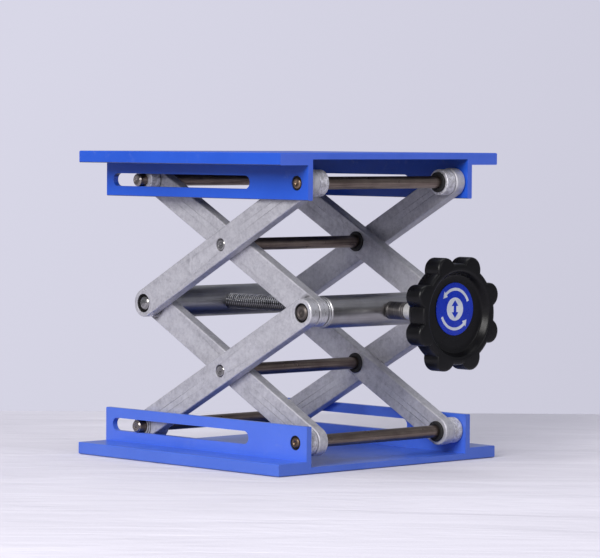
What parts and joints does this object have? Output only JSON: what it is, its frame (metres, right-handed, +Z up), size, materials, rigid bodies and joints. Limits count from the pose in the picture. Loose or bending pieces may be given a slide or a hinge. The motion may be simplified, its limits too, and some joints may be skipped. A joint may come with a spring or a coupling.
{
  "type": "laboratory scissor jack",
  "caption": "Laboratory scissor jack: two channel plates on paired scissor arms, raised and lowered level by a lead screw with a star knob.",
  "frame": {"origin": "centre of the base plate's underside", "axes": "+Z up, +X towards the knob along the screw, +Y across the jack along the rods"},
  "size_m": [0.2003, 0.15, 0.1547],
  "materials": {
    "blue_paint": "smooth royal blue paint on aluminium",
    "arm_aluminium": "raw tumbled aluminium, mottled",
    "spacer_metal": "cast or turned light alloy",
    "bright_steel": "bright plated steel",
    "black_rubber": "black rubber",
    "bar_steel": "grey turned steel",
    "rod_steel": "dark drawn steel, slightly brown",
    "screw_steel": "oiled threaded steel",
    "black_plastic": "moulded black plastic, satin",
    "label_blue": "printed gloss label"
  },
  "bodies": {
    "base_body": {"base_plate": "blue_paint", "base_pivot_rod": "rod_steel", "base_pivot_spacer_near": "spacer_metal", "base_pivot_spacer_far": "spacer_metal", "base_pivot_washers": "black_rubber"},
    "lower_inner_body": {"lower_inner_arm_near": "arm_aluminium", "lower_inner_arm_far": "arm_aluminium", "lower_cross_rod": "rod_steel", "lower_cross_washers": "black_rubber"},
    "lower_outer_body": {"lower_outer_arm_near": "arm_aluminium", "lower_outer_arm_far": "arm_aluminium", "base_slide_rod": "rod_steel", "base_slide_spacer_near": "spacer_metal", "base_slide_spacer_far": "spacer_metal"},
    "nut_bar_body": {"nut_bar": "bar_steel", "nut_bar_washers": "bright_steel"},
    "thrust_bar_body": {"thrust_bar": "bar_steel", "thrust_bar_washers": "bright_steel"},
    "upper_outer_body": {"upper_outer_arm_near": "arm_aluminium", "upper_outer_arm_far": "arm_aluminium", "upper_cross_rod": "rod_steel", "upper_cross_washers": "black_rubber"},
    "upper_inner_body": {"upper_inner_arm_near": "arm_aluminium", "upper_inner_arm_far": "arm_aluminium", "top_slide_rod": "rod_steel", "top_slide_spacer_near": "spacer_metal", "top_slide_spacer_far": "spacer_metal"},
    "top_body": {"top_plate": "blue_paint", "top_pivot_rod": "rod_steel", "top_pivot_spacer_near": "spacer_metal", "top_pivot_spacer_far": "spacer_metal", "top_pivot_washers": "black_rubber"},
    "screw_body": {"lead_screw": "screw_steel", "thrust_collar": "screw_steel", "collar_pin": "screw_steel", "knob_bush": "bright_steel", "knob": "black_plastic", "knob_grub_screw": "screw_steel", "knob_label": "label_blue"}
  },
  "joints": [
    {"name": "knob_turn", "type": "hinge", "parent": "thrust_bar_body", "child": "screw_body", "pos_m": [0.0669, 0, 0.07733], "axis": [-1, 0, 0], "range_deg": [-6158.7, 9491.5]},
    {"name": "lower_inner_arms_fold", "type": "hinge", "parent": "base_body", "child": "lower_inner_body", "pos_m": [0.0669, 0, 0.0147], "axis": [0, 1, 0], "range_deg": [-20.68, 31.86]},
    {"name": "lower_outer_arms_fold", "type": "hinge", "parent": "lower_inner_body", "child": "lower_outer_body", "pos_m": [0.0084, 0, 0.04601], "axis": [0, 1, 0], "range_deg": [-63.72, 41.36]},
    {"name": "thrust_bar_pivot", "type": "hinge", "parent": "lower_outer_body", "child": "thrust_bar_body", "pos_m": [0.0669, 0, 0.07733], "axis": [0, 1, 0], "range_deg": [-20.68, 31.86]},
    {"name": "nut_bar_pivot", "type": "hinge", "parent": "lower_inner_body", "child": "nut_bar_body", "pos_m": [-0.05009, 0, 0.07733], "axis": [0, 1, 0], "range_deg": [-31.86, 20.68]},
    {"name": "upper_outer_arms_fold", "type": "hinge", "parent": "nut_bar_body", "child": "upper_outer_body", "pos_m": [-0.05009, 0, 0.07733], "axis": [0, 1, 0], "range_deg": [-31.86, 20.68]},
    {"name": "upper_inner_arms_fold", "type": "hinge", "parent": "upper_outer_body", "child": "upper_inner_body", "pos_m": [0.0084, 0, 0.10864], "axis": [0, 1, 0], "range_deg": [-41.36, 63.72]},
    {"name": "top_plate_pivot", "type": "hinge", "parent": "upper_outer_body", "child": "top_body", "pos_m": [0.0669, 0, 0.13995], "axis": [0, 1, 0], "range_deg": [-20.68, 31.86]}
  ],
  "couplings": [
    {"joint": "lower_inner_arms_fold", "follows": "knob_turn", "ratio": 0.0033546},
    {"joint": "lower_outer_arms_fold", "follows": "knob_turn", "ratio": -0.0067092},
    {"joint": "thrust_bar_pivot", "follows": "knob_turn", "ratio": 0.0033546},
    {"joint": "nut_bar_pivot", "follows": "knob_turn", "ratio": -0.0033546},
    {"joint": "upper_outer_arms_fold", "follows": "knob_turn", "ratio": -0.0033546},
    {"joint": "upper_inner_arms_fold", "follows": "knob_turn", "ratio": 0.0067092},
    {"joint": "top_plate_pivot", "follows": "knob_turn", "ratio": 0.0033546}
  ]
}
